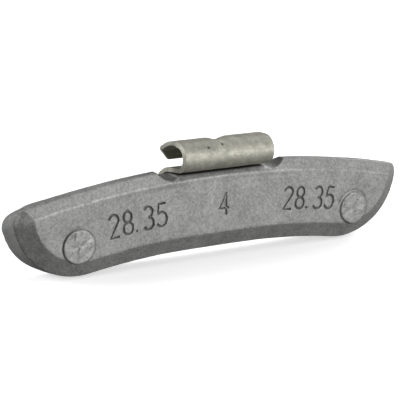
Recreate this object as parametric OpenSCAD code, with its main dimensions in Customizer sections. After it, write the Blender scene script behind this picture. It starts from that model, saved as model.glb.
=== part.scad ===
// Clip-on wheel balance weight: a die-cast body with a spring-steel clip cast into its top.
// X runs along the weight, Z points away from the wheel's centre, and the visible face looks to -Y.
// The origin is the axis of the clip's round channel, half way along the clip.

/* [Casting] */
// Length of the casting, end to end
body_l = 65; // [54:0.1:78]
// Thickness from the front face to the back face
body_t = 6.2; // [5.15:0.05:7.5]
// Height of the flat front face at the middle
face_h = 8.4; // [7:0.1:10]
// Radius of the top edge, which follows the wheel's rim
top_r = 151; // [126:1:182]
// Radius of the hollow lower edge, on each side of its straight middle
bottom_r = 103.5; // [87:0.5:125]
// Length of the straight middle of the lower edge
flat_l = 8.6; // [7.1:0.1:10.4]
// Radius of the rounded ends
end_r = 10.1; // [9:0.1:11.4]
// Radius of the corners between the ends and the top edge
corner_r = 1.9; // [1.2:0.05:2.3]
// Height of the bevel round the lower edge and the ends
bevel_h = 2.5; // [2.1:0.05:3]
// Depth of the same bevel, back from the front face
bevel_d = 1.6; // [1.3:0.05:2]
// How far the side walls flare out between the bevel and the back, as a die's draft
wall_flare = 0.35; // [0.1:0.05:0.5]
// Chamfer of the lower back edge
back_edge = 0.3; // [0.2:0.05:0.5]

/* [Top edge] */
// Height of the steep top chamfer above the front face
top_h = 1.65; // [1.4:0.05:2]
// Depth of the top chamfer
top_d = 0.75; // [0.6:0.05:1]
// Width of the narrow land along the top
land_w = 1.3; // [1.1:0.05:1.6]
// Fall of the slope behind the land, in degrees
back_slope = 30; // [25:1:36]

/* [Bosses] */
// Boss centres, in from the ends of the casting
boss_in = 9.1; // [8.6:0.1:10.4]
// Boss centres, below the centres of the rounded ends
boss_down = 5.35; // [4.6:0.05:6]
// Boss radius
boss_r = 2.45; // [2:0.05:3]
// Height that the bosses stand proud of the front face
boss_h = 0.25; // [0.15:0.05:0.4]

/* [Clip] */
// Width of the clip's hook
clip_w = 14.9; // [12.4:0.1:17.9]
// Extra width on each side at the clip's root
root_extra = 0.4; // [0.2:0.05:0.6]
// Thickness of the spring-steel strip
strip_t = 0.6; // [0.5:0.02:0.72]
// Inner radius of the channel that grips the rim's lip
channel_r = 1.59; // [1.3:0.01:1.91]
// Gap between the foot and the clip's round nose
leg_gap = 0.21; // [0.1:0.01:0.4]
// Channel's axis behind the front face
channel_back = 0.6; // [0.4:0.05:0.9]
// Metal between the buried strip and the back face
anchor_cover = 0.6; // [0.4:0.05:1]
// Depth of the strip that is buried in the casting
anchor_l = 5; // [4:0.1:6]
// Radius of the hole that locks the buried strip
anchor_hole_r = 1.4; // [1:0.1:1.6]

/* [Seat of the clip] */
// Height of the foot's sloping face under the clip
foot_h = 0.7; // [0.5:0.05:0.8]
// Depth of the foot's sloping face
foot_d = 0.9; // [0.8:0.05:1.1]
// Radius of the scooped pocket beside each end of the foot
pocket_r = 2.5; // [2.3:0.05:2.7]
// Pocket centres, outward from the ends of the foot
pocket_out = 1.15; // [1:0.05:1.3]
// Height of the pocket's lowest line above the face's top edge
pocket_up = 0.1; // [0.05:0.05:0.3]

/* [Hidden] */
$fn = 96;
eps = 0.5; // how far a cutter reaches past the faces that it cuts
seam_back = 0.5; // the middle stops this far short of the line where the lower arcs touch the ends
inside_arc = 0.8; // share of the lower edge's radius where the middle's outline starts
corner_back = 0.2; // the corner's waste leans this far into the corner, so that it starts on its arc

// Casting outline, seen from the front with the face's top edge at z = 0
top_z = top_h - top_r; // centre of the top edge's arc
bottom_z = -face_h - bevel_h - bottom_r; // height of the centres of the lower edge's arcs
end_x = body_l / 2 - end_r;
end_z = bottom_z + sqrt(pow(bottom_r + end_r, 2) - pow(end_x - flat_l / 2, 2));
land_back = top_d + land_w;
slope_drop = (body_t - land_back) * tan(back_slope);

// Corner between a rounded end and the top edge: the centre of its own small circle
to_top = top_r - corner_r;
to_end = end_r - corner_r;
centres = norm([end_x, end_z - top_z]);
along = (to_top * to_top - to_end * to_end + centres * centres) / (2 * centres);
aside = sqrt(to_top * to_top - along * along);
axis_dir = [end_x, end_z - top_z] / centres;
corner_c = [0, top_z] + along * axis_dir + aside * [axis_dir[1], -axis_dir[0]];

// Clip, as one strip: headings are degrees in the Y-Z plane, 0 to the back and 90 upwards
channel_up = foot_h + leg_gap + strip_t + channel_r; // the channel's axis above the face's top edge
bend_step = 4; // degrees between the places along a bend
channel_cut = 0.02; // the channel is cut this far into the bent strip
nose_r = channel_r - channel_cut + strip_t / 2; // radius of the middle line round the channel
leg_heading = 175;
ramp_heading = 148;
knee_r = 2.4;
root_r = 1.2;
ramp_l = 1;
crown_heading = -2;
brow_heading = -30;
crown_l = 1.2;
brow_r = 5.35;
brow_l = 1.08;
crease_in = 0.3; // inner radius of the crease above the lip
crease_r = crease_in + strip_t / 2;
lip_l = 1.35;
lip_cut_x = 1.25; // the lip's cut corners, across the strip
lip_cut_z = 1.6; // and along it
cut_reach = 0.1; // the slanting cuts run on by this share of their length
side_step = 0.1; // the straight sides start this far under the lip
knee_run = bent([0, 0], 180 + leg_heading, knee_r, ramp_heading - leg_heading);
root_run = bent([0, 0], 180 + ramp_heading, root_r, 90 - ramp_heading);
leg_start = [channel_back, channel_up] - nose_r * right_of(leg_heading);
anchor_y = body_t - anchor_cover - strip_t / 2;
leg_l = (anchor_y - leg_start[0] - knee_run[0] + ramp_l * cos(ramp_heading) - root_run[0])
    / -cos(leg_heading);
knee_start = leg_start - leg_l * ahead(leg_heading);
knee_end = knee_start + knee_run;
root_end = knee_end - ramp_l * ahead(ramp_heading);
anchor_top = root_end + root_run;
crown_start = [channel_back, channel_up] - nose_r * right_of(crown_heading);
brow_start = crown_start + crown_l * ahead(crown_heading);
brow_end = bent(brow_start, crown_heading, brow_r, brow_heading - crown_heading);
crease_start = brow_end + brow_l * ahead(brow_heading);
lip_start = bent(crease_start, brow_heading, crease_r, -90 - brow_heading);
lip_low = lip_start[1] - lip_l;
root_w = clip_w + 2 * root_extra;
foot_side = clip_w / 2; // the foot ends under the hook's ends
pocket_x = foot_side + pocket_out;

function ahead(heading) = [cos(heading), sin(heading)];
function right_of(heading) = [sin(heading), -cos(heading)];
// Where a bend ends, turning left for a positive angle and right for a negative one
function bent(start, heading, r, turn) =
    start + sign(turn) * r * (right_of(heading + turn) - right_of(heading));

function unit(v) = v / norm(v);

// Turns a profile of [radius, depth] about an axis along Y
module turned(profile) {
    rotate([-90, 0, 0]) rotate_extrude() polygon(profile);
}

// Stands an X-Z outline up and gives it a depth along Y
module upright(depth, from = 0) {
    translate([0, from + depth, 0]) rotate([90, 0, 0]) linear_extrude(depth) children();
}

module mirrored_pair() {
    children();
    mirror([1, 0, 0]) children();
}

// Everything under the top edge: chamfer, land and back slope turned about one axis
module under_top() {
    translate([0, 0, top_z]) turned([
        [0, 0], [top_r - top_h, 0], [top_r, top_d], [top_r, land_back],
        [top_r - slope_drop, body_t], [0, body_t]
    ]);
}

// Section of the space below the lower edge, as [height, depth] from the arc's centre
lower_space = [
    [0, -eps], [bottom_r + bevel_h + eps * bevel_h / bevel_d, -eps], [bottom_r, bevel_d],
    [bottom_r - wall_flare, body_t - back_edge], [bottom_r - wall_flare + back_edge + eps, body_t + eps],
    [0, body_t + eps]
];

module below_body() {
    mirrored_pair() translate([flat_l / 2, 0, bottom_z]) turned(lower_space);
    translate([flat_l / 2, 0, bottom_z]) rotate([0, -90, 0]) linear_extrude(flat_l) polygon(lower_space);
}

// The part of the body that the lower edge bounds, out to just short of where the arcs touch
module middle() {
    centre = [flat_l / 2, bottom_z];
    lean = atan2(end_x - flat_l / 2, end_z - bottom_z) - seam_back / bottom_r * 180 / PI;
    edge = [sin(lean), cos(lean)];
    low = centre + inside_arc * bottom_r * edge;
    high = centre + (bottom_r + 3 * end_r) * edge; // well above the top edge
    difference() {
        upright(body_t) polygon([low, high, [-high[0], high[1]], [-low[0], low[1]]]);
        below_body();
    }
}

module rounded_end() {
    translate([end_x, 0, end_z]) turned([
        [0, 0], [end_r - bevel_h, 0], [end_r, bevel_d], [end_r + wall_flare, body_t - back_edge],
        [end_r + wall_flare - back_edge, body_t], [0, body_t]
    ]);
}

// What the small corner radius takes off
module corner_waste() {
    reach = 3 * corner_r;
    to_side = unit(corner_c - [end_x, end_z]);
    to_sky = unit(corner_c - [0, top_z]);
    bisector = unit(to_side + to_sky);
    side = unit(to_side + corner_back * bisector);
    sky = unit(to_sky + corner_back * bisector);
    difference() {
        upright(body_t + 2 * eps, -eps) polygon([
            corner_c, corner_c + reach * side, corner_c + reach * (side + sky), corner_c + reach * sky
        ]);
        translate([corner_c[0], 0, corner_c[1]]) turned([
            [0, -2 * eps], [corner_r, -2 * eps], [corner_r, bevel_d],
            [corner_r + wall_flare, body_t - back_edge], [corner_r + wall_flare, body_t + 2 * eps],
            [0, body_t + 2 * eps]
        ]);
    }
}

// Clears the top edge over the foot that carries the clip
module seat_cut() {
    ridge_r = top_r - top_h;
    intersection() {
        translate([0, 0, top_z]) turned([
            [ridge_r, 0], [ridge_r + foot_h, foot_d], [ridge_r + foot_h, body_t + eps],
            [top_r + eps, body_t + eps], [top_r + eps, -eps], [ridge_r, -eps]
        ]);
        translate([-pocket_x, -2 * eps, -foot_h]) cube([2 * pocket_x, body_t + 4 * eps, 2 * top_h]);
    }
}

// A scooped pocket beside the foot, whose end is the pocket's inner wall
module pocket() {
    intersection() {
        translate([pocket_x, -eps, pocket_up + pocket_r])
            rotate([-90, 0, 0]) cylinder(r = pocket_r, h = body_t + 2 * eps);
        translate([foot_side, -2 * eps, -foot_h]) cube([2 * pocket_r, body_t + 4 * eps, 3 * pocket_r]);
    }
}

module bosses() {
    mirrored_pair() translate([body_l / 2 - boss_in, -boss_h, end_z - boss_down])
        rotate([-90, 0, 0]) cylinder(r = boss_r, h = boss_h + bevel_d);
}

module cast_body() {
    difference() {
        intersection() {
            union() {
                middle();
                mirrored_pair() rounded_end();
            }
            under_top();
        }
        mirrored_pair() corner_waste();
        seat_cut();
        mirrored_pair() pocket();
    }
    bosses();
}

// Places along a bend of the strip's middle line, as [point, heading]
function bend_places(start, heading, r, turn) =
    let (steps = ceil(abs(turn) / bend_step))
    [for (k = [0:steps]) [bent(start, heading, r, turn * k / steps), heading + turn * k / steps]];

// The strip's middle line from its buried end to its free lip
places = concat(
    [[anchor_top - [0, anchor_l], 90]],
    bend_places(anchor_top, 90, root_r, ramp_heading - 90),
    bend_places(knee_end, ramp_heading, knee_r, leg_heading - ramp_heading),
    bend_places(leg_start, leg_heading, nose_r, crown_heading - leg_heading),
    bend_places(brow_start, crown_heading, brow_r, brow_heading - crown_heading),
    bend_places(crease_start, brow_heading, crease_r, -90 - brow_heading),
    [[lip_start - [0, lip_l], -90]]
);
last_place = len(places) - 1;

// One face of the strip: a point at half its thickness to the right of each place
function strip_face(side) = [for (p = places) p[0] + side * strip_t / 2 * right_of(p[1])];

module strip() {
    right_face = strip_face(1);
    left_face = strip_face(-1);
    translate([-root_w / 2, 0, 0]) rotate([90, 0, 90]) linear_extrude(root_w)
        polygon(concat(right_face, [for (k = [0:last_place]) left_face[last_place - k]]));
}

// The round channel, cut as a true cylinder
module channel() {
    translate([-root_w, channel_back, channel_up]) rotate([0, 90, 0]) cylinder(r = channel_r, h = 2 * root_w);
}

module anchor_hole() {
    translate([0, anchor_top[0] - strip_t, anchor_top[1] - anchor_l / 2]) rotate([-90, 0, 0])
        cylinder(r = anchor_hole_r, h = 2 * strip_t);
}

// Narrows the strip to the hook's width: tapered along the leg, straight above it
module side_waste() {
    side = clip_w / 2;
    root_side = root_w / 2;
    reach = 3 * body_t;
    above_leg = lip_low - side_step;
    mirrored_pair() {
        translate([side, -reach, above_leg]) cube([root_extra + eps, 2 * reach, reach]);
        linear_extrude(above_leg + eps) polygon([
            [side, leg_start[0]], [root_side, knee_start[0]], [root_side + eps, knee_start[0]],
            [root_side + eps, -reach], [side, -reach]
        ]);
    }
}

module lip_corners() {
    side = clip_w / 2;
    slant = cut_reach * [lip_cut_x, lip_cut_z];
    low = [side - lip_cut_x, lip_low];
    mirrored_pair() upright(2 * lip_l, lip_start[0] - lip_l) polygon([
        low - slant, [side, lip_low + lip_cut_z] + slant, [side + eps, lip_low - eps]
    ]);
}

module clip_shape() {
    difference() {
        strip();
        channel();
        anchor_hole();
        side_waste();
        lip_corners();
    }
}

module weight_casting() {
    color([0.6, 0.6, 0.59]) translate([0, -channel_back, -channel_up]) difference() {
        cast_body();
        clip_shape();
    }
}

module spring_clip() {
    color([0.68, 0.67, 0.61]) translate([0, -channel_back, -channel_up]) clip_shape();
}

weight_casting();
spring_clip();
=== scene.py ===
# %% [markdown]
# # A clip-on wheel balance weight
# This lesson builds the looks of a small balance weight. It has two pieces: an arched
# body, die-cast in zinc with a thin grey coat, and a spring-steel clip that the body was
# cast around. The frame brings both as exact but knife-sharp solids, at their true size.

# %% Load the frame
import math
import bmesh
import bpy
from mathutils import Matrix, Vector, noise


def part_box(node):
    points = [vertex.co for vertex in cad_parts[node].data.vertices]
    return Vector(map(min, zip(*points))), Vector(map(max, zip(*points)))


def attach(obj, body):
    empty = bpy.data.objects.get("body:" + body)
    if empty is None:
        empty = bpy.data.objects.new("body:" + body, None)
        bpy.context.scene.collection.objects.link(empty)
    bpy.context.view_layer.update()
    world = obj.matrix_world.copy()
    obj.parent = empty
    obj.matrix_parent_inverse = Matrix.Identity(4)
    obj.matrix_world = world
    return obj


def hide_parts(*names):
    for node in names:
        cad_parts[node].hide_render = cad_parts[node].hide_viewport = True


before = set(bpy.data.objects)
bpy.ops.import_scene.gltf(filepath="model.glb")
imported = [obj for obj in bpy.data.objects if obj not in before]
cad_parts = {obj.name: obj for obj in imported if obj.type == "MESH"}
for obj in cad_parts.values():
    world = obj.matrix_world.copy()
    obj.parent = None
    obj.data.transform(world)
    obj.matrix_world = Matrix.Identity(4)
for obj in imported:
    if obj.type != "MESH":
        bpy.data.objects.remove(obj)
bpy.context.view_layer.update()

# %% [markdown]
# ## Units and sizes
# Blender works in metres, so every size is written in millimetres and multiplied by MM.
# The origin is the axis of the clip's round channel. X runs along the weight, Z is up
# and the visible face looks towards -Y.

# %% Sizes of the strip
MM = 0.001
CLIP_W = 14.9 * MM        # width of the hook
ROOT_W = 15.7 * MM        # width where it enters the casting
STRIP_T = 0.6 * MM
CHANNEL_R = 1.59 * MM     # inner radius of the channel
NOSE_R = CHANNEL_R + STRIP_T / 2
LEG_HEADING = 175         # headings in degrees, 0 to the back and 90 upwards
RAMP_HEADING = 148
CROWN_HEADING = -2
BROW_HEADING = -30
KNEE_R = 2.4 * MM
ROOT_R = 1.2 * MM
RAMP_L = 1.0 * MM
CROWN_L = 1.2 * MM
BROW_R = 5.35 * MM
BROW_L = 1.08 * MM
CREASE_R = 0.6 * MM
LIP_L = 1.35 * MM
LIP_CUT_X = 1.25 * MM     # the lip's cut corners, across the strip
LIP_CUT_Z = 1.6 * MM      # and along it
ANCHOR_L = 5.0 * MM       # straight length buried in the casting
ANCHOR_HOLE_R = 1.4 * MM

# %% Helpers shared by all pieces
def mm(*values):
    """Millimetres as a list of metres."""
    return [value * MM for value in values]


def smoothstep(low, high, value):
    """0 below low, 1 above high and an even curve between them."""
    t = min(max((value - low) / (high - low), 0.0), 1.0)
    return t * t * (3 - 2 * t)


def hollow(places, value):
    """0 outside four places in order, 1 between the middle two."""
    return smoothstep(*places[:2], value) * (1 - smoothstep(*places[2:], value))


def waves(co, layers):
    """Noise at a place, added up over layers of wave size and height."""
    return sum(noise.noise(co / size) * height for size, height in layers)


def object_from(bm, name):
    """Turns a finished bmesh into an object at the origin."""
    mesh = bpy.data.meshes.new(name)
    bm.to_mesh(mesh)
    bm.free()
    piece = bpy.data.objects.new(name, mesh)
    bpy.context.scene.collection.objects.link(piece)
    print(name, "has", len(mesh.vertices), "vertices and", len(mesh.polygons), "faces")
    return piece


def apply_modifiers(piece):
    """Bakes the piece's modifiers into its mesh."""
    graph = bpy.context.evaluated_depsgraph_get()
    baked = bpy.data.meshes.new_from_object(piece.evaluated_get(graph))
    piece.modifiers.clear()
    piece.data = baked
    print(piece.name, "now has", len(baked.polygons), "faces")


def in_mm(place):
    """A place in rounded millimetres, for printing."""
    return [round(c / MM, 2) for c in place]

# %% [markdown]
# ## Camera
# The camera stands where the photograph was taken: to the left of the weight and a little
# above it, with a long lens that flattens the perspective. It is set by its place, its
# heading round the object, its downward tilt and a small lean.

# %% Place the camera
CAMERA_AT = Vector((-119.24, -182.98, 48.65)) * MM
HEADING, TILT, LEAN = (math.radians(a) for a in (32.273, 14.299, 1.328))
IMAGE_SIDE = 400          # pixels across the picture
FOCAL_PIXELS = 1563.3     # focal length in those pixels
SENSOR = 36.0             # width of the camera's sensor, in mm

forward = Vector((math.sin(HEADING) * math.cos(TILT),
                  math.cos(HEADING) * math.cos(TILT),
                  -math.sin(TILT)))
level_right = Vector((math.cos(HEADING), -math.sin(HEADING), 0))
level_up = level_right.cross(forward)
right = math.cos(LEAN) * level_right + math.sin(LEAN) * level_up
up = math.cos(LEAN) * level_up - math.sin(LEAN) * level_right
camera_data = bpy.data.cameras.new("camera")
camera_data.sensor_width = SENSOR
camera_data.lens = FOCAL_PIXELS / IMAGE_SIDE * SENSOR
camera_data.clip_start = 10 * MM
camera = bpy.data.objects.new("camera", camera_data)
bpy.context.scene.collection.objects.link(camera)
turn = Matrix((right, up, -forward)).transposed().to_4x4()
camera.matrix_world = Matrix.Translation(CAMERA_AT) @ turn
bpy.context.scene.camera = camera
print("lens", round(camera_data.lens, 1), "mm")

# %% [markdown]
# ## The spring clip
# The real clip is a flat strip of spring steel that a press bends step by step. The same
# steps work in bmesh: a flat grid is the strip's cut end, extruding its rim draws a straight
# length, and spinning the rim about an axis makes a bend. A curve with a bevel would be
# quicker, but its corners and its inner radius would only be approximate.

# %% Bend the strip
def ahead(heading):
    """Direction of a heading in the Y-Z plane."""
    angle = math.radians(heading)
    return Vector((0, math.cos(angle), math.sin(angle)))


def to_right(heading):
    """Direction to the right of a heading."""
    return ahead(heading - 90)


class Strip:
    """A strip that grows from its buried end, one length or bend at a time."""

    def __init__(self, start, heading, across, through):
        self.bm = bmesh.new()
        outer = self.bm.verts.layers.float.new("outer")
        grid = bmesh.ops.create_grid(self.bm, x_segments=across, y_segments=through, size=0.5)
        for v in grid["verts"]:
            v[outer] = 0.5 - v.co.y      # 0 on the hook's inner face and 1 on its outer face
        bmesh.ops.scale(self.bm, vec=(ROOT_W, STRIP_T, 1), verts=grid["verts"])
        bmesh.ops.translate(self.bm, vec=start, verts=grid["verts"])
        self.point = Vector(start)
        self.heading = heading

    def rim(self):
        """The open edges that the next length grows from."""
        return [e for e in self.bm.edges if e.is_boundary]

    def straight(self, length, steps):
        """Draws the rim out along its heading."""
        for _ in range(steps):
            made = bmesh.ops.extrude_edge_only(self.bm, edges=self.rim())["geom"]
            moved = [g for g in made if isinstance(g, bmesh.types.BMVert)]
            bmesh.ops.translate(self.bm, vec=ahead(self.heading) * length / steps, verts=moved)
        self.point += ahead(self.heading) * length

    def bend(self, radius, angle, steps):
        """Turns the rim about an axis across the strip, left for a positive angle."""
        side = 1 if angle > 0 else -1
        centre = self.point - side * radius * to_right(self.heading)
        rim = self.rim()
        rim += list(dict.fromkeys(v for e in rim for v in e.verts))
        bmesh.ops.spin(self.bm, geom=rim, cent=centre, axis=(side, 0, 0), dvec=(0, 0, 0),
                       angle=math.radians(abs(angle)), steps=steps, use_duplicate=False)
        self.heading += angle
        self.point = centre + side * radius * to_right(self.heading)


def way_back(radius, heading, angle):
    """From the start of a bend to its end, for a bend that is walked from heading by angle."""
    side = 1 if angle > 0 else -1
    return side * radius * (to_right(heading + angle) - to_right(heading))


# The channel is centred on the origin, so the strip's start is found by walking back.
# The body's thickness, less the cover behind the strip, half the strip and the part of
# the body that is in front of the channel's axis
ANCHOR_Y = (6.2 - 0.6 - 0.3 - 0.6) * MM
ACROSS, THROUGH = 120, 4  # faces of the strip's cut end
leg_start = -NOSE_R * to_right(LEG_HEADING)
root_turn = way_back(ROOT_R, 90, RAMP_HEADING - 90)
knee_turn = way_back(KNEE_R, RAMP_HEADING, LEG_HEADING - RAMP_HEADING)
rest_y = root_turn.y + RAMP_L * ahead(RAMP_HEADING).y + knee_turn.y
leg_l = (leg_start.y - ANCHOR_Y - rest_y) / ahead(LEG_HEADING).y
leg_end = leg_start - leg_l * ahead(LEG_HEADING)
anchor_top = leg_end - knee_turn - RAMP_L * ahead(RAMP_HEADING) - root_turn
print("leg", round(leg_l / MM, 2), "mm, top of the buried part at", in_mm(anchor_top))

# The last number of each line is how many steps draw it
strip = Strip(anchor_top - ANCHOR_L * ahead(90), 90, ACROSS, THROUGH)
strip.straight(ANCHOR_L, 12)
strip.bend(ROOT_R, RAMP_HEADING - 90, 10)
strip.straight(RAMP_L, 5)
strip.bend(KNEE_R, LEG_HEADING - RAMP_HEADING, 8)
strip.straight(leg_l, 14)
strip.bend(NOSE_R, CROWN_HEADING - LEG_HEADING, 40)
strip.straight(CROWN_L, 8)
strip.bend(BROW_R, BROW_HEADING - CROWN_HEADING, 18)
strip.straight(BROW_L, 7)
strip.bend(CREASE_R, -90 - BROW_HEADING, 9)
strip.straight(LIP_L, 9)
bmesh.ops.holes_fill(strip.bm, edges=strip.rim(), sides=0)
lip_low = strip.point.z
print("lip ends at", in_mm(strip.point))

# %% [markdown]
# ## Trim the strip
# The blank was cut before bending: the hook is a little narrower than its root, the
# lip's corners are clipped at a slant, and a hole in the buried end lets the cast metal
# lock it. Moving vertices narrows the strip, and bisect_plane clips the corners.

# %% Narrow the hook and clip the lip
LIP_BEHIND = 1.2 * MM     # the lip is less than this in front of the strip's end,
LIP_ABOVE = 1.9 * MM      # lower than this
LIP_UNDER = 1.0 * MM      # and at most this far under its own end


def on_side(bm, keep):
    """The part of a bmesh whose faces lie wholly where keep says."""
    faces = [f for f in bm.faces if all(keep(v.co) for v in f.verts)]
    # A dict keeps their order, where a set would change it from run to run
    edges = dict.fromkeys(e for f in faces for e in f.edges)
    verts = dict.fromkeys(v for f in faces for v in f.verts)
    return faces + list(edges) + list(verts)


bm = strip.bm
for v in bm.verts:
    if v.co.z < lip_low:
        share = min(max((v.co.y - leg_start.y) / (leg_end.y - leg_start.y), 0), 1)
    else:
        share = 0
    v.co.x *= (CLIP_W + share * (ROOT_W - CLIP_W)) / ROOT_W


def on_lip(co):
    """Whether a place is on the free lip."""
    return co.y > strip.point.y - LIP_BEHIND and lip_low - LIP_UNDER < co.z < LIP_ABOVE


for side in (-1, 1):
    part = on_side(bm, on_lip)
    low_corner = Vector((side * (CLIP_W / 2 - LIP_CUT_X), 0, lip_low))
    bmesh.ops.bisect_plane(bm, geom=part, plane_co=low_corner, clear_outer=True,
                           plane_no=(side * LIP_CUT_Z, 0, -LIP_CUT_X))
    open_edges = [e for e in bm.edges if e.is_boundary]
    bmesh.ops.holes_fill(bm, edges=open_edges, sides=0)
print("open edges left", sum(e.is_boundary for e in bm.edges))

# %% [markdown]
# ## Work the steel
# Bending a strip this tightly squeezes the metal on the inside of the bend, and it bulges
# out past the cut edge. The clip has also been struck: a dent crosses its top, with two
# small pits in front of it. The dent is deep enough to change the outline, so it and the
# pits are moved vertices and not bump.

# %% Bulge the ends and strike the dent
END_BULGE = 0.22 * MM     # how far the inner edge stands out past the outer one
BULGE_REACH = 1.0 * MM    # how far in from the ends the bulge starts
BULGE_Y = mm(0.2, 1.2)    # where it fades towards the back
BULGE_Z = 2.5 * MM        # and how far it reaches above and below the channel's axis
DENT_DEPTH = 0.60 * MM
DENT_X = mm(-1.8, 0.2, 0.7, 1.9)      # where it starts, is deepest and ends
DENT_Y = mm(-0.4, 1.4, 2.8, 4.8)
PIT_DEPTH = 0.10 * MM
PIT_R = 0.17 * MM
PIT_REACH = 1.5           # how far a pit's slope reaches, in its radii
PITS = [Vector((-3.45, -1.62, 1.47)) * MM, Vector((-1.05, -1.37, 1.71)) * MM]
STEEL_WAVES = [(2.2 * MM, 0.025), (0.7 * MM, 0.008)]      # size, and height in mm
STEEL_SINK = 0.035        # mm that keep the waves inside the exact clip


outer = bm.verts.layers.float.get("outer")
clip_low, clip_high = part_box("spring_clip")
for v in bm.verts:
    co = v.co
    if co.y < BULGE_Y[1] and abs(co.z) < BULGE_Z:
        near_end = smoothstep(CLIP_W / 2 - BULGE_REACH, CLIP_W / 2, abs(co.x))
        bulge = END_BULGE * (1 - v[outer]) * near_end * (1 - smoothstep(*BULGE_Y, co.y))
        co.x += math.copysign(bulge, co.x)
    if co.z > 0:
        co.z -= DENT_DEPTH * hollow(DENT_X, co.x) * hollow(DENT_Y, co.y)
    for pit in PITS:
        near = 1 - (co - pit).length / (PIT_REACH * PIT_R)
        if near > 0:
            co -= PIT_DEPTH * near * co.normalized()
    out = waves(co, STEEL_WAVES) - STEEL_SINK
    co += out * MM * Vector((0, co.y, co.z)).normalized()
    co.y = max(co.y, clip_low.y)
    co.z = min(co.z, clip_high.z)

# %% [markdown]
# The shears that cut the blank rolled its outer edge over and left the inner one crisp, so
# the long outer edges get a wide bevel and the others a narrow one.

# %% Round the cut edges
ROLLOVER = 0.12 * MM
BREAK = 0.04 * MM
SHARP = math.radians(50)  # faces that turn by more than this meet at a corner
OUTER_FACE = 0.99         # an "outer" value above this lies on the hook's outer face


def sharp_edges(bm):
    """Edges between faces that meet at a corner."""
    return [e for e in bm.edges if len(e.link_faces) == 2 and e.calc_face_angle() > SHARP]


def round_edges(bm, edges, offset, segments):
    """Bevels edges and says how many there were."""
    print("edges to round", len(edges))
    bmesh.ops.bevel(bm, geom=edges, offset=offset, offset_type="OFFSET", segments=segments,
                    profile=0.5, affect="EDGES", clamp_overlap=True, material=-1)


bmesh.ops.recalc_face_normals(bm, faces=bm.faces)
rolled = [e for e in sharp_edges(bm) if all(v[outer] > OUTER_FACE for v in e.verts)]
round_edges(bm, rolled, ROLLOVER, 3)
round_edges(bm, sharp_edges(bm), BREAK, 2)
for f in bm.faces:
    f.smooth = True
clip = object_from(bm, "bent_clip")

# %% [markdown]
# A hole was punched in the blank before it was bent. Here a cylinder is cut out of the
# finished clip, because a round hole in a grid of square faces would need its own mesh.

# %% Drill the anchor hole
bm = bmesh.new()
bmesh.ops.create_cone(bm, cap_ends=True, segments=48, radius1=ANCHOR_HOLE_R, radius2=ANCHOR_HOLE_R,
                      depth=3 * STRIP_T, matrix=Matrix.Rotation(math.pi / 2, 4, "X"))
bmesh.ops.translate(bm, vec=anchor_top - ANCHOR_L / 2 * ahead(90), verts=bm.verts)
drill = object_from(bm, "drill")
cut = clip.modifiers.new("anchor hole", "BOOLEAN")
cut.object = drill
cut.operation = "DIFFERENCE"
cut.solver = "MANIFOLD"
apply_modifiers(clip)
bpy.data.objects.remove(drill)

# %% [markdown]
# ## The casting
# A die casting has no sharp edges: the metal shrinks from the die's corners and the coat
# rounds them again. Bevelling every edge of the exact solid would work on a simple block,
# but here arcs, scooped pockets and bosses meet at odd angles. Instead a copy of the
# solid is given an even skin of small faces by a voxel remesh, and the skin is smoothed.

# %% Soften a copy of the casting
VOXEL = 0.11 * MM
SMOOTH_PASSES = 4
CORNER_AT = Vector((31.6, 4.6, -6.6)) * MM      # the upper back corners are the roundest
PROUD = 0.01 * MM                               # the bosses' fronts lie within this
CORNER_REACHES = mm(4.5, 3.2, 2.2)              # each reach is smoothed once more
CORNER_PASSES = 18

bm = bmesh.new()
bm.from_mesh(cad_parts["weight_casting"].data)
bmesh.ops.remove_doubles(bm, verts=bm.verts, dist=0.001 * MM)
foremost = min(v.co.y for v in bm.verts)
fronts = [v.co.copy() for v in bm.verts if v.co.y < foremost + PROUD]
rims = {side: [co for co in fronts if co.x * side > 0] for side in (-1, 1)}
bosses = {side: sum(rim, Vector()) / len(rim) for side, rim in rims.items()}
BOSS_R = (rims[1][0] - bosses[1]).length
print("bosses at", [in_mm(b) for b in bosses.values()], "radius", round(BOSS_R / MM, 2))
casting = object_from(bm, "cast_body")
skin = casting.modifiers.new("even skin", "REMESH")
skin.mode = "VOXEL"
skin.voxel_size = VOXEL
apply_modifiers(casting)


def soften(bm, verts, passes):
    """Moves each vertex towards its neighbours, several times over."""
    for _ in range(passes):
        bmesh.ops.smooth_vert(bm, verts=verts, factor=0.5,
                              use_axis_x=True, use_axis_y=True, use_axis_z=True)


bm = bmesh.new()
bm.from_mesh(casting.data)
soften(bm, bm.verts, SMOOTH_PASSES)
for reach in CORNER_REACHES:
    near = [v for v in bm.verts
            if (Vector((abs(v.co.x), v.co.y, v.co.z)) - CORNER_AT).length < reach]
    soften(bm, near, CORNER_PASSES)
    print(len(near), "vertices smoothed again within", round(reach / MM, 1), "mm of the corners")

# %% [markdown]
# ## Uneven metal
# The skin of the real casting isn't true: it swells and sinks by a few hundredths of a
# millimetre. Its upper corners are rounded about a slanting axis, as the die's fillets
# leave them, and the slope behind rises a little towards them. Two ejector pins pushed
# it out of the die, and where each pin stood there is a slightly proud disc, crumpled,
# with a groove round it that is deeper on one side. The grooves and creases are listed
# in boss radii, and the same list darkens them later.

# %% Measure the marks on the bosses
FACE_Y = -0.6 * MM
BOSS_REACH = 1.4          # marks round a boss end at this many of its radii
GROOVE_W = 0.11 * MM
# Radius, first and last angle and depth in mm of the grooves round the left and right boss
GROOVES = {
    -1: [(1.04, -40, 400, 0.04), (1.05, 85, 200, 0.05)],
    1: [(0.98, 108, 265, 0.10), (1.14, 80, 158, 0.08), (1.16, 24, 60, 0.08)],
}
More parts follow.
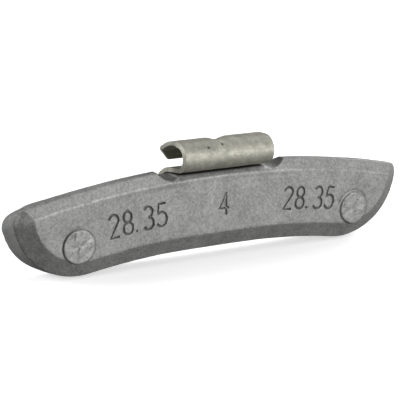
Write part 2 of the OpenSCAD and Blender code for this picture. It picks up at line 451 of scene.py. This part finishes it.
# Lines of creases, as points across and up
CREASES = {
    -1: [[(-0.28, 0.84), (-0.33, 0.38)], [(-0.03, -0.09), (-0.14, -0.26), (-0.16, -0.43)]],
    1: [[(0.26, 0.50), (0.33, 0.38)], [(0.14, -0.25), (0.20, -0.27)],
        [(-0.62, 0.55), (-0.72, 0.10)]],
}
CREASE_DEPTH = 0.09       # mm
CREASE_W = 0.8            # as a share of a groove's width
NUBS = {-1: [(0.11, -0.26), (0.80, 0.05)], 1: [(-0.12, 0.15), (-0.10, -0.25)]}
NUB_R = 0.20
NUB_H = 0.07              # mm
ANGLE_FADE = 12           # degrees over which a groove starts and ends
FOLD_WAVES = [(0.9 * MM, 0.07), (0.35 * MM, 0.03)]        # size, and height in mm
FOLD_SLICE = 7            # mm apart in the noise, so that the two bosses differ
FOLD_TOP = 0.8            # the folds fade from this share of the boss's radius to its rim
BOSS_BEHIND = 0.5 * MM    # nothing further behind the face than this is on a boss


def to_line(x, z, a, b):
    """Distance from a place to the line between two points."""
    along = Vector((b[0] - a[0], b[1] - a[1]))
    share = min(max(((x - a[0]) * along.x + (z - a[1]) * along.y) / along.length_squared, 0), 1)
    return math.hypot(x - a[0] - share * along.x, z - a[1] - share * along.y)


def groove_depth(co, side):
    """Depth in mm of the grooves and creases at a place on the front."""
    x, z = (co.x - bosses[side].x) / BOSS_R, (co.z - bosses[side].z) / BOSS_R
    r = math.hypot(x, z)
    if r > BOSS_REACH:
        return 0.0
    angle = math.degrees(math.atan2(z, x)) % 360
    width = GROOVE_W / BOSS_R
    depth = 0.0
    for at, start, end, deep in GROOVES[side]:
        fades = [start - ANGLE_FADE, start + ANGLE_FADE, end - ANGLE_FADE, end + ANGLE_FADE]
        depth += deep * hollow(fades, angle) * math.exp(-((r - at) / width) ** 2)
    for points in CREASES[side]:
        near = min(to_line(x, z, a, b) for a, b in zip(points, points[1:]))
        depth += CREASE_DEPTH * math.exp(-(near / (CREASE_W * width)) ** 2)
    return depth


def boss_front(co, side):
    """How far a boss's front is pushed back at a place, in metres."""
    x, z = co.x - bosses[side].x, co.z - bosses[side].z
    r = math.hypot(x, z)
    if r > BOSS_R * BOSS_REACH or co.y > FACE_Y + BOSS_BEHIND:
        return 0.0
    folds = waves(Vector((x, FOLD_SLICE * side * MM, z)), FOLD_WAVES)
    nubs = sum(math.exp(-(math.hypot(x / BOSS_R - at, z / BOSS_R - up) / NUB_R) ** 2)
               for at, up in NUBS[side])
    top = 1 - smoothstep(BOSS_R * FOLD_TOP, BOSS_R, r)
    return ((folds - NUB_H * nubs) * top + groove_depth(co, side)) * MM


# %% Shape the skin
SKIN_WAVES = [(3.5 * MM, 0.03), (1.1 * MM, 0.012)]        # size, and height in mm
BACK_CLEAR = 0.002 * MM                         # the back stays this far inside the exact one
END_GROW = 0.17 * MM                            # what the smoothing took off each end's length
GROW_X = mm(22, 31)                             # it is given back between these places
END_CENTRE = Vector((22.4, 0, -5.35)) * MM      # centre of the round end
LOW_BULGE = 0.14 * MM                           # the round end's lower part bulges a little,
LOW_ANGLES = (-82, -62, -48, -25)               # between these angles,
LOW_Y = mm(0.8, 3)                              # behind the bevel
LOW_R = 9 * MM                                  # and outside this radius
END_LIFT = 0.35 * MM                            # the back slope is higher towards the ends
LIFT_X, LIFT_Y = mm(24, 28.5), mm(1.2, 3)
LIFT_TURN = (0.2, 0.6)                          # Z of the normals that count as the slope
ROUND_FRONT = Vector((30.6, 1.0, -6.53)) * MM   # the upper corner is rounded about an axis
ROUND_BACK = Vector((30.15, 5.6, -8.4)) * MM    # that slants from here to here
ROUND_R = 1.95 * MM
ROUND_MORE = 0.15 * MM                          # its radius is this much larger at the back
BLEND_X, BLEND_Y, BLEND_Z = mm(27.5, 1.2, -10)  # the ends are blended beyond this place
BLEND_PASSES = 60

back_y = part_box("weight_casting")[1].y - BACK_CLEAR
for v in bm.verts:
    co = v.co
    swell = waves(co, SKIN_WAVES)
    v.normal_update()
    co += v.normal * swell * MM
    co.x += math.copysign(END_GROW * smoothstep(*GROW_X, abs(co.x)), co.x)
    turn = math.degrees(math.atan2(co.z - END_CENTRE.z, abs(co.x) - END_CENTRE.x))
    low = LOW_BULGE * hollow(LOW_ANGLES, turn) * smoothstep(*LOW_Y, co.y)
    outward = Vector((co.x - math.copysign(END_CENTRE.x, co.x), 0, co.z - END_CENTRE.z))
    if outward.length > LOW_R:
        co += low * outward.normalized()
    lift = smoothstep(*LIFT_X, abs(co.x)) * smoothstep(*LIFT_Y, co.y)
    co.z += END_LIFT * lift * smoothstep(*LIFT_TURN, v.normal.z)
    share = (co.y - ROUND_FRONT.y) / (ROUND_BACK.y - ROUND_FRONT.y)
    axis = ROUND_FRONT.lerp(ROUND_BACK, share)
    across, rise, limit = abs(co.x) - axis.x, co.z - axis.z, ROUND_R + ROUND_MORE * share
    if share > 0 and across > 0 and rise > 0 and math.hypot(across, rise) > limit:
        pull = limit / math.hypot(across, rise)
        co.x = math.copysign(axis.x + across * pull, co.x)
        co.z = axis.z + rise * pull
    for side in bosses:
        co.y += boss_front(co, side)
    co.y = min(co.y, back_y)
blend = [v for v in bm.verts
         if abs(v.co.x) > BLEND_X and v.co.z > BLEND_Z and v.co.y > BLEND_Y]
soften(bm, blend, BLEND_PASSES)
for f in bm.faces:
    f.smooth = True
bm.to_mesh(casting.data)
bm.free()
print("casting box", in_mm(casting.bound_box[0]), in_mm(casting.bound_box[6]))

# %% [markdown]
# ## Engraved numerals
# The mass in grams stands recessed at both sides of the middle, with a cavity number
# between them. Each numeral is drawn as one or two strokes on a curve whose round bevel
# is the engraver's tool, and the tubes that it makes are cut out of the face.

# %% Strokes of the numerals
def arc(cx, cz, rx, rz, start, end, steps=14):
    """Points on an ellipse's arc, from one angle to another."""
    angles = [math.radians(start + (end - start) * k / steps) for k in range(steps + 1)]
    return [(cx + rx * math.cos(a), cz + rz * math.sin(a)) for a in angles]


# In a cell 0.5 wide and 1 high
NUMERALS = {
    "2": [arc(0.25, 0.76, 0.22, 0.24, 165, -25) + [(0.03, 0.0), (0.47, 0.0)]],
    "8": [arc(0.25, 0.76, 0.19, 0.24, 90, 450), arc(0.25, 0.26, 0.23, 0.26, 90, 450)],
    ".": [[(0.0, 0.0), (0.0, 0.09)]],
    "3": [arc(0.24, 0.76, 0.20, 0.24, 150, -80) + arc(0.23, 0.26, 0.24, 0.26, 80, -150)],
    "5": [[(0.44, 1.0), (0.10, 1.0), (0.06, 0.58)] + arc(0.22, 0.32, 0.25, 0.32, 125, -150)],
    "4": [[(0.36, 0.0), (0.36, 1.0), (0.02, 0.32), (0.50, 0.32)]],
}
ADVANCE = {".": 1.15 * MM}
DIGIT_ADVANCE = 2.15 * MM
DIGIT_H = 3.3 * MM
ARC_CENTRE_Z = -152.45 * MM     # centre of the top edge's arc
BASELINE_R = 143.4 * MM
TOOL_R = 0.17 * MM
TOOL_IN = 0.04 * MM             # the tool's axis under the face


def engrave_strokes(text, start_angle):
    """Lays a row of numerals along the arc and returns their strokes as points."""
    strokes = []
    along = math.radians(start_angle) * BASELINE_R
    for sign in text:
        for stroke in NUMERALS[sign]:
            points = []
            for x, z in stroke:
                angle = (along + x * DIGIT_H) / BASELINE_R
                radius = BASELINE_R + z * DIGIT_H
                points.append(Vector((radius * math.sin(angle), FACE_Y + TOOL_IN,
                                      ARC_CENTRE_Z + radius * math.cos(angle))))
            strokes.append(points)
        along += ADVANCE.get(sign, DIGIT_ADVANCE)
    return strokes


def tool_path(strokes, name):
    """Sweeps the round tool along the strokes as one mesh."""
    data = bpy.data.curves.new(name, "CURVE")
    data.dimensions = "3D"
    data.bevel_depth = TOOL_R
    data.bevel_resolution = 3
    data.use_fill_caps = True
    for points in strokes:
        closed = (points[0] - points[-1]).length < TOOL_R / 4
        points = points[:-1] if closed else points
        spline = data.splines.new("POLY")
        spline.points.add(len(points) - 1)
        for place, p in zip(spline.points, points):
            place.co = (*p, 1)
        spline.use_cyclic_u = closed
    curve = bpy.data.objects.new(name, data)
    bpy.context.scene.collection.objects.link(curve)
    graph = bpy.context.evaluated_depsgraph_get()
    mesh = bpy.data.meshes.new_from_object(curve.evaluated_get(graph))
    bpy.data.objects.remove(curve)
    bm = bmesh.new()
    bm.from_mesh(mesh)
    bmesh.ops.remove_doubles(bm, verts=bm.verts, dist=TOOL_R / 100)
    return object_from(bm, name)


def combine(piece, others, operation):
    """Joins other pieces to a piece, or cuts them out of it, and removes them."""
    for other in others:
        step = piece.modifiers.new(other.name, "BOOLEAN")
        step.object = other
        step.operation = operation
        step.solver = "MANIFOLD"
    apply_modifiers(piece)
    for other in others:
        bpy.data.objects.remove(other)


# %% Cut them into the face
ROWS = [("28.35", -7.45), ("28.35", 4.15), ("4", -0.3)]
strokes = [stroke for text, angle in ROWS for stroke in engrave_strokes(text, angle)]
tools = [tool_path([stroke], f"stroke_{k}") for k, stroke in enumerate(strokes)]
combine(tools[0], tools[1:], "UNION")
combine(casting, tools[:1], "DIFFERENCE")

# %% [markdown]
# The even skin has far more faces than its flat parts need. Decimate takes out those that
# change the shape least, and the slivers that it and the cuts leave are cleared.

# %% Thin the mesh
MOST_TRIANGLES = 190000
SLIVER = 0.0005 * MM      # faces thinner than this are dissolved
SAME_PLACE = 0.0002 * MM  # vertices closer than this are merged
triangles = sum(len(p.vertices) - 2 for p in casting.data.polygons)
thin = casting.modifiers.new("thin", "DECIMATE")
thin.ratio = min(1.0, MOST_TRIANGLES / triangles)
apply_modifiers(casting)

bm = bmesh.new()
bm.from_mesh(casting.data)
bmesh.ops.dissolve_degenerate(bm, dist=SLIVER, edges=bm.edges)
bmesh.ops.remove_doubles(bm, verts=bm.verts, dist=SAME_PLACE)
bmesh.ops.triangulate(bm, faces=bm.faces)
for f in bm.faces:
    f.smooth = True
bm.to_mesh(casting.data)
bm.free()
print("triangles", triangles, "before and", len(casting.data.polygons), "after")

# %% [markdown]
# ## Painted shade, stains and wear
# Shade is painted into the colour where less light falls: under the clip, in the scooped
# pockets beside it, in the grooves round the bosses, in the numerals and on the bevels
# that turn away from the light. A few smudges on the face are real stains. The bosses are
# rubbed lighter, and painted highlights lighten the ridge and a few edges. Each vertex
# stores its painted shade and stains and its wear and painted light, from its place and
# the way that it faces, and the finishes read both values.

# %% Measure the painted shade and stains on the casting
# Pairs are where an effect starts and where it is full, or, where a name says fade, where
# it starts to fade and where it is gone. The value is 0 on clean, lit coat and 1 in the
# darkest painted shade.
FORWARDS, FLAT = -0.3, -0.9         # Y of the normals that face forwards, and of the flat face
FOOT_X = 7.5 * MM                   # half the length of the foot under the clip
# Painted shade on the foot's top under the clip, black close under it
UNDER_CLIP_Y = 3 * MM
UNDER_CLIP_Z = mm(-2.80, -2.50)
POCKET_X, POCKET_Z, POCKET_R = mm(8.6, -0.5, 2.5)
POCKET_FROM_X = 7.2 * MM
POCKET_WALL = 0.12 * MM             # how far the smoothed wall may lie outside the exact one
POCKET_SHADE = 0.36                 # painted shade in the left pocket, fading towards the right one
POCKET_FADE_X = mm(-8.6, 7.6)
BEVEL_TURN = (0.15, 0.45)           # how far a normal turns down or sideways on the bevels
# Painted shade on the bevels that turn away from the light; it fades out at the upper corners
BEVEL_SHADE, BEVEL_LEFT_SHADE = 0.18, 0.40
UNSHADED_CORNER_Z, UNSHADED_CORNER_X = mm(-7.6, -6.0), mm(27, 29)
GROOVE_SHADE = 0.6                  # painted shade in a groove of this depth in mm or more
GROOVE_FULL = 0.13
SHADE_X, SHADE_Z = mm(-9.5, -3.85)  # a painted shadow to the left of the foot
SHADE_W, SHADE_H = mm(3.4, 0.45)
SHADE_DARKNESS = 0.18
RIDGE_R = 149.35 * MM               # the ridge's arc, with a painted shade line just below it
RIDGE_LINE_DOWN, RIDGE_LINE_W = mm(0.5, 0.25)
RIDGE_LINE_SHADE = 0.15
RIDGE_LINE_X = mm(-26, -18, 8, 16)
# Painted shade, darker towards the left end and most on the upper chamfer
LEFT_SHADE, LEFT_CHAMFER_SHADE = 0.04, 0.10
LEFT_FADE_X = mm(-28, -8)
CHAMFER_TURN = (0.25, 0.4)          # Z of the normals on the upper chamfer
# Place, reach and darkness of smudges on the face
SMUDGES = [(Vector((25.8, -0.6, -7.4)) * MM, 0.8 * MM, 0.25),
           (Vector((24.4, -0.6, -8.3)) * MM, 0.6 * MM, 0.2),
           (Vector((-25.4, -0.6, -8.4)) * MM, 1.3 * MM, 0.12)]
ROWS_END = 21 * MM                  # the numerals end before this
NUMERAL_DEPTHS = mm(0.03, 0.4)      # under the face
# painted shade in the engraved numerals
NUMERAL_SHADE = 0.75


def in_pocket(co):
    """Whether a place is on the scooped pocket at either side of the clip."""
    from_axis = math.hypot(abs(co.x) - POCKET_X, co.z - POCKET_Z)
    return abs(co.x) > POCKET_FROM_X and from_axis < POCKET_R + POCKET_WALL


def peak(offset, width):
    """1 at no offset, fading on both sides over about a width."""
    return math.exp(-(offset / width) ** 2)


def arc_radius(co):
    """Distance from the centre of the top edge's arc."""
    return math.hypot(co.x, co.z - ARC_CENTRE_Z)


def bevel_painted_shade(co, normal):
    """Painted shade on the bevels that turn away from the light, most of it on those that face
    left.
    """
    turned = smoothstep(*BEVEL_TURN, max(-normal.z, abs(normal.x)))
    below_corner = 1 - smoothstep(*UNSHADED_CORNER_Z, co.z) * smoothstep(*UNSHADED_CORNER_X, abs(co.x))
    return turned * below_corner * (BEVEL_SHADE + BEVEL_LEFT_SHADE * max(0.0, -normal.x))


def casting_shade_and_stain(co, normal):
    """Painted shade and stains: 0 on clean, lit coat, 1 in the darkest painted shade."""
    dark = 0.0
    # Painted shade on the foot's top under the clip
    if co.y < UNDER_CLIP_Y and abs(co.x) < FOOT_X:
        dark = smoothstep(*UNDER_CLIP_Z, co.z)
    # Painted shade in the scooped pockets
    if in_pocket(co):
        dark = max(dark, POCKET_SHADE * (1 - smoothstep(*POCKET_FADE_X, co.x)))
    if normal.y < FORWARDS:
        dark = max(dark, bevel_painted_shade(co, normal))
    if co.y < 0:
        # Painted shade in the grooves and creases round the bosses
        grooves = sum(groove_depth(co, side) for side in bosses)
        dark += min(grooves / GROOVE_FULL, 1) * GROOVE_SHADE
        dark += SHADE_DARKNESS * peak(co.x - SHADE_X, SHADE_W) * peak(co.z - SHADE_Z, SHADE_H)
    radius = arc_radius(co)
    # Painted shade line just below the ridge
    if normal.y < FLAT:
        line = peak(radius - RIDGE_R + RIDGE_LINE_DOWN, RIDGE_LINE_W)
        dark += RIDGE_LINE_SHADE * line * hollow(RIDGE_LINE_X, co.x)
    # Painted shade towards the left end
    if normal.y < FORWARDS:
        left = LEFT_SHADE + LEFT_CHAMFER_SHADE * smoothstep(*CHAMFER_TURN, normal.z)
        dark += left * (1 - smoothstep(*LEFT_FADE_X, co.x))
    if normal.y < FLAT:
        for place, reach, deep in SMUDGES:
            dark += deep * peak((co - place).length, reach)
    # Painted shade in the engraved numerals
    row = BASELINE_R - TOOL_R < radius < BASELINE_R + DIGIT_H + TOOL_R and abs(co.x) < ROWS_END
    if row and NUMERAL_DEPTHS[0] < co.y - FACE_Y < NUMERAL_DEPTHS[1]:
        dark = max(dark, NUMERAL_SHADE)
    return min(dark, 1.0)


# %% Measure the wear and painted light of the casting
FOOT_EDGE_LIGHT, FOOT_EDGE_LIGHT_LEAST = 1.3, 0.1     # painted light on the foot's upright edges, and where it ends
FOOT_EDGE_LIGHT_W = 0.14 * MM
FOOT_FRONT_Y = 2.4 * MM
FOOT_Z = mm(-3.0, -2.2)
STREAK = [mm(-31.95, -5.6), mm(-32.25, -6.9)]   # a painted highlight streak on the left end's edge
STREAK_X, STREAK_Y, STREAK_W = mm(-31, 1.6, 0.16)
RIDGE_WEAR_AND_SHEEN, RIDGE_SHEEN_LOSS = 0.65, 0.4   # wear and painted highlight on the ridge at the left, and how much less it is at the right
RIDGE_FADE_X = mm(8, 20)
RIDGE_SHEEN_W = 0.13 * MM
PATCHY, PATCH_WAVES = 0.6, [(0.8 * MM, 0.8)]
BOSS_RUB, BOSS_RUB_SIDE = 0.28, 0.08    # the left boss is rubbed more than the right one
BOSS_RUB_LEAN = 0.15                    # and both more at their lower right
BOSS_RUB_WAVES = [(0.9 * MM, 0.7), (0.35 * MM, 0.3)]
BOSS_RUB_EDGE = 0.9                     # as a share of the boss's radius


def casting_wear_and_light(co, normal):
    """How far the coat is lighter: rubbed on the bosses, a painted highlight on the foot's edges,
    the right pocket and the left end, and both on the ridge.
    """
    # Painted light on the foot's upright edges
    foot_edge = FOOT_EDGE_LIGHT * peak(abs(co.x) - FOOT_X, FOOT_EDGE_LIGHT_W)
    if co.y < FOOT_FRONT_Y and FOOT_Z[0] < co.z < FOOT_Z[1] and foot_edge > FOOT_EDGE_LIGHT_LEAST:
        return foot_edge
    # Painted light on the right pocket, which faces away from the lights
    if co.x > 0 and in_pocket(co):
        return 1.0
    # Painted highlight along the left end's edge
    if co.x < STREAK_X and co.y < STREAK_Y:
        return peak(to_line(co.x, co.z, *STREAK), STREAK_W)
    if co.y > 0:
        return 0.0
    # Wear and a painted highlight along the ridge
    fading = RIDGE_WEAR_AND_SHEEN - RIDGE_SHEEN_LOSS * smoothstep(*RIDGE_FADE_X, co.x)
    wear_and_painted_light = fading * (PATCHY + waves(co, PATCH_WAVES)) * peak(arc_radius(co) - RIDGE_R, RIDGE_SHEEN_W)
    for side, centre in bosses.items():
        x, z = co.x - centre.x, co.z - centre.z
        crumpled = BOSS_RUB - BOSS_RUB_SIDE * side + BOSS_RUB_LEAN * (x - z) / BOSS_R
        crumpled += waves(co, BOSS_RUB_WAVES)
        inside = 1 - smoothstep(BOSS_RUB_EDGE * BOSS_R, BOSS_R, math.hypot(x, z))
        wear_and_painted_light = max(wear_and_painted_light, crumpled * inside)
    return wear_and_painted_light


# %% Measure the painted shade, bare metal and painted highlight of the clip
PIT_SHADE = 1.7                         # painted shade at a pit's middle, less 1 for each pit radius
RIM_TURN = (0.3, 0.85)                  # X of the normals on the rolled edge
# painted shade on the rolled edge
RIM_SHADE = 0.45
CUT_END = 0.7                           # X of the normals from which a face is a cut end
HOOK_FRONT_Y = 1.5 * MM
# Painted shade on the hook's underside, black along its lowest line
UNDERSIDE_Z, UNDERSIDE_SHADE = mm(-1.9, -0.6), 0.30
LOWEST_Z = mm(-2.05, -1.90)             # the hook's lowest line, close above the casting
CUT_END_TURN, CUT_END_RUB = (0.7, 0.95), 0.15
# painted highlight on the dent's right side
DENT_HIGHLIGHT = 0.7
DENT_HIGHLIGHT_X = mm(0.5, 1.0, 1.7, 2.2)
DENT_HIGHLIGHT_Y, DENT_HIGHLIGHT_Z = mm(-0.9, -0.1), mm(1.3, 1.7)


def clip_painted_shade(co, normal):
    """Painted shade: dark on the hook's underside and its rolled edge, and black in the pits."""
    dark = max(PIT_SHADE - (co - pit).length / PIT_R for pit in PITS)
    outward = normal.y * co.y + normal.z * co.z
    near_end = abs(co.x) > CLIP_W / 2 - 2 * ROLLOVER
    if outward > 0 and near_end and RIM_TURN[0] < abs(normal.x) < RIM_TURN[1]:
        dark = max(dark, RIM_SHADE)
    if outward > 0 and abs(normal.x) < CUT_END and co.y < HOOK_FRONT_Y:
        dark = max(dark, UNDERSIDE_SHADE * (1 - smoothstep(*UNDERSIDE_Z, co.z)))
        dark = max(dark, 1 - smoothstep(*LOWEST_Z, co.z))
    return min(max(dark, 0.0), 1.0)


def clip_bare_and_highlight(co, normal):
    """The cut ends are bare and bright, and the dent's right side has a painted highlight."""
    in_dent = hollow(DENT_HIGHLIGHT_X, co.x) * smoothstep(*DENT_HIGHLIGHT_Y, co.y)
    in_dent *= smoothstep(*DENT_HIGHLIGHT_Z, co.z)
    return max(CUT_END_RUB * smoothstep(*CUT_END_TURN, abs(normal.x)), DENT_HIGHLIGHT * in_dent)


# %% Paint both on the vertices
def paint(piece, name, measure):
    """Stores a value on every vertex, measured from its place and its normal."""
    values = [measure(v.co, v.normal) for v in piece.data.vertices]
    piece.data.attributes.new(name, "FLOAT", "POINT").data.foreach_set("value", values)
    print(piece.name, name, "on average", round(sum(values) / len(values), 3))


paint(casting, "painted_shade_and_stain", casting_shade_and_stain)
paint(casting, "wear_and_painted_light", casting_wear_and_light)
paint(clip, "painted_shade_and_stain", clip_painted_shade)
paint(clip, "wear_and_painted_light", clip_bare_and_highlight)

# %% [markdown]
# ## Finishes
# Both finishes are patterns of noise on Object coordinates, which stay put on the piece
# from every side. The coat is a matt grey with a fine cast grain and cloudy patches. The
# steel is bare and satin, slightly yellowish, with faint dark stains and painted bright
# glints. A ramp turns each noise into a grey that multiplies the colour, so the patterns add
# up as stains do; the painted shade and painted light on the vertices multiply it too.

# %% Node helpers
def new_finish(name):
    """An empty material with its shader and an Object coordinate to hang patterns on."""
    material = bpy.data.materials.new(name)
    material.use_nodes = True
    tree = material.node_tree
    shader = tree.nodes["Principled BSDF"]
    coords = tree.nodes.new("ShaderNodeTexCoord").outputs["Object"]
    return material, tree, shader, coords


def cloud(tree, coords, size, detail=3.0, roughness=0.55, stretch=(1, 1, 1)):
    """Noise whose features are about size across."""
    mapping = tree.nodes.new("ShaderNodeMapping")
    mapping.inputs["Scale"].default_value = [s / size for s in stretch]
    tree.links.new(coords, mapping.inputs["Vector"])
    node = tree.nodes.new("ShaderNodeTexNoise")
    node.inputs["Scale"].default_value = 1.0
    node.inputs["Detail"].default_value = detail
    node.inputs["Roughness"].default_value = roughness
    tree.links.new(mapping.outputs["Vector"], node.inputs["Vector"])
    return node.outputs["Fac"]


def ramp(tree, factor, stops):
    """A colour ramp, with its stops as pairs of place and colour or grey."""
    node = tree.nodes.new("ShaderNodeValToRGB")
    elements = node.color_ramp.elements
    while len(elements) < len(stops):
        elements.new(0.5)
    for element, (place, value) in zip(elements, stops):
        element.position = place
        element.color = (*value, 1) if isinstance(value, tuple) else (value, value, value, 1)
    tree.links.new(factor, node.inputs["Fac"])
    return node.outputs["Color"]


def blend_colours(tree, a, b, factor, how="MIX"):
    """Mixes two colours, each a socket or a fixed colour."""
    node = tree.nodes.new("ShaderNodeMix")
    node.data_type = "RGBA"
    node.blend_type = how
    for value, name in ((factor, "Factor"), (a, "A"), (b, "B")):
        socket = node.inputs[name]
        if isinstance(value, bpy.types.NodeSocket):
            tree.links.new(value, socket)
        else:
            socket.default_value = value
    return node.outputs["Result"]


def bump(tree, shader, layers):
    """Chains bumps, each with a pattern, a height in metres and a strength."""
    normal = None
    for pattern, height, strength in layers:
        node = tree.nodes.new("ShaderNodeBump")
        node.inputs["Distance"].default_value = height
        node.inputs["Strength"].default_value = strength
        tree.links.new(pattern, node.inputs["Height"])
        if normal is not None:
            tree.links.new(normal, node.inputs["Normal"])
        normal = node.outputs["Normal"]
    tree.links.new(normal, shader.inputs["Normal"])


def stored(tree, name):
    """A value that was painted on the vertices."""
    node = tree.nodes.new("ShaderNodeAttribute")
    node.attribute_name = name
    return node.outputs["Fac"]


# %% Grey coat of the casting
def grey_coat():
    """Thin matt coat over cast zinc."""
    material, tree, shader, coords = new_finish("grey_coat")
    grain = cloud(tree, coords, 0.36 * MM, detail=4, roughness=0.7)
    patches = cloud(tree, coords, 1.5 * MM)
    drift = cloud(tree, coords, 5 * MM, detail=2)
    colour = ramp(tree, grain, [(0.30, 0.205), (0.70, 0.415)])
    tint = ramp(tree, patches, [(0.30, 0.88), (0.70, 1.10)])
    colour = blend_colours(tree, colour, tint, 1.0, "MULTIPLY")
    shade = ramp(tree, drift, [(0.3, (0.90, 0.915, 0.89)), (0.7, (1.09, 1.095, 1.07))])
    colour = blend_colours(tree, colour, shade, 1.0, "MULTIPLY")
    # Painted shade and stains darken the coat; wear and painted light lighten it
    shade_and_stain = ramp(tree, stored(tree, "painted_shade_and_stain"),
                 [(0.0, 1.0), (0.8, (0.3, 0.3, 0.28)), (1.0, (0.03, 0.03, 0.025))])
    colour = blend_colours(tree, colour, shade_and_stain, 1.0, "MULTIPLY")
    wear_and_light = ramp(tree, stored(tree, "wear_and_painted_light"), [(0.0, 1.0), (1.0, 1.5)])
    colour = blend_colours(tree, colour, wear_and_light, 1.0, "MULTIPLY")
    tree.links.new(colour, shader.inputs["Base Color"])
    rough = ramp(tree, patches, [(0.3, 0.50), (0.7, 0.64)])
    tree.links.new(rough, shader.inputs["Roughness"])
    shader.inputs["Metallic"].default_value = 0.25
    bump(tree, shader, [(patches, 0.03 * MM, 0.5), (grain, 0.02 * MM, 0.6)])
    return material


# %% Bare spring steel
def satin_steel():
    """Satin rolled steel, faintly stained, with painted bright glints."""
    material, tree, shader, coords = new_finish("satin_steel")
    clouds = cloud(tree, coords, 1.1 * MM, detail=5, roughness=0.65)
    specks = cloud(tree, coords, 0.35 * MM, detail=2, roughness=0.5)
    streaks = cloud(tree, coords, 0.5 * MM, detail=4, roughness=0.65, stretch=(0.3, 1, 1))
    colour = ramp(tree, clouds, [(0.3, (0.315, 0.31, 0.265)), (0.7, (0.515, 0.51, 0.44))])
    # Dark stains and painted bright glints
    spots = ramp(tree, specks, [(0.27, 0.72), (0.36, 1.0), (0.62, 1.0), (0.73, 1.3)])
    colour = blend_colours(tree, colour, spots, 1.0, "MULTIPLY")
    # Painted shade darkens the steel; its bare cut ends and a painted highlight on the dent
    # lighten it
    shade_and_stain = ramp(tree, stored(tree, "painted_shade_and_stain"),
                 [(0.0, 1.0), (0.8, (0.3, 0.29, 0.24)), (1.0, (0.04, 0.04, 0.03))])
    colour = blend_colours(tree, colour, shade_and_stain, 1.0, "MULTIPLY")
    bare_and_highlight = ramp(tree, stored(tree, "wear_and_painted_light"), [(0.0, 1.0), (1.0, 1.7)])
    colour = blend_colours(tree, colour, bare_and_highlight, 1.0, "MULTIPLY")
    tree.links.new(colour, shader.inputs["Base Color"])
    rough = ramp(tree, streaks, [(0.3, 0.53), (0.7, 0.69)])
    tree.links.new(rough, shader.inputs["Roughness"])
    shader.inputs["Metallic"].default_value = 0.6
    bump(tree, shader, [(clouds, 0.07 * MM, 0.5), (specks, 0.03 * MM, 0.5),
                        (streaks, 0.015 * MM, 0.4)])
    return material


for piece, finish in ((casting, grey_coat()), (clip, satin_steel())):
    piece.data.materials.clear()
    piece.data.materials.append(finish)
    print(piece.name, "wears", finish.name)

# %% [markdown]
# ## On the frame
# Each piece takes the place of its exact solid, which stays for collision. Both belong to
# one rigid body, because the casting holds the clip fast.

# %% Seat the pieces on the frame
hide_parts("weight_casting")
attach(casting, "root")
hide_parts("spring_clip")
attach(clip, "root")

# %% [markdown]
# ## Studio
# The weight stands on a plain white floor under soft lights. The main light stands in
# front, low and a little to the right, so the bevels that turn away from it stay darker
# than the face. A weak light above it softens the top, and two lights behind brighten the
# chamfer and the clip.

# %% Floor and lights
FLOOR_SIZE = 3.0
floor_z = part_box("weight_casting")[0].z
bm = bmesh.new()
bmesh.ops.create_grid(bm, x_segments=1, y_segments=1, size=FLOOR_SIZE / 2)
bmesh.ops.translate(bm, vec=(0, 0, floor_z), verts=bm.verts)
floor = object_from(bm, "floor")


def paper():
    """White paper, bright to the camera, that throws little light back on the piece."""
    material, tree, shader, coords = new_finish("paper")
    shader.inputs["Base Color"].default_value = (0.92, 0.92, 0.92, 1)
    shader.inputs["Roughness"].default_value = 0.9
    shader.inputs["Emission Color"].default_value = (1, 1, 1, 1)
    shader.inputs["Emission Strength"].default_value = 0.55
    dim = tree.nodes.new("ShaderNodeBsdfDiffuse")
    dim.inputs["Color"].default_value = (0.22, 0.22, 0.22, 1)
    path = tree.nodes.new("ShaderNodeLightPath")
    mix = tree.nodes.new("ShaderNodeMixShader")
    tree.links.new(path.outputs["Is Camera Ray"], mix.inputs["Fac"])
    tree.links.new(dim.outputs["BSDF"], mix.inputs[1])
    tree.links.new(shader.outputs["BSDF"], mix.inputs[2])
    tree.links.new(mix.outputs["Shader"], tree.nodes["Material Output"].inputs["Surface"])
    return material


floor.data.materials.append(paper())


def soft_light(name, place, watts, size):
    """A square area light at place, turned to the middle of the weight."""
    data = bpy.data.lights.new(name, "AREA")
    data.energy = watts
    data.size = size
    light = bpy.data.objects.new(name, data)
    light.location = Vector(place)
    aim = -Vector(place).normalized()
    light.rotation_euler = aim.to_track_quat("-Z", "Y").to_euler()
    bpy.context.scene.collection.objects.link(light)


soft_light("front_light", (0.22, -0.77, 0.13), 5.1, 0.3)
soft_light("top_light", (0.15, -0.45, 0.60), 0.8, 0.5)
soft_light("left_back_light", (-0.70, 0.35, 0.30), 4.6, 0.4)
soft_light("right_back_light", (0.70, 0.25, 0.35), 4.2, 0.4)
world = bpy.data.worlds.new("studio")
world.use_nodes = True
world.node_tree.nodes["Background"].inputs["Color"].default_value = (1, 1, 1, 1)
world.node_tree.nodes["Background"].inputs["Strength"].default_value = 0.10
bpy.context.scene.world = world
bpy.context.scene.view_settings.view_transform = "Standard"
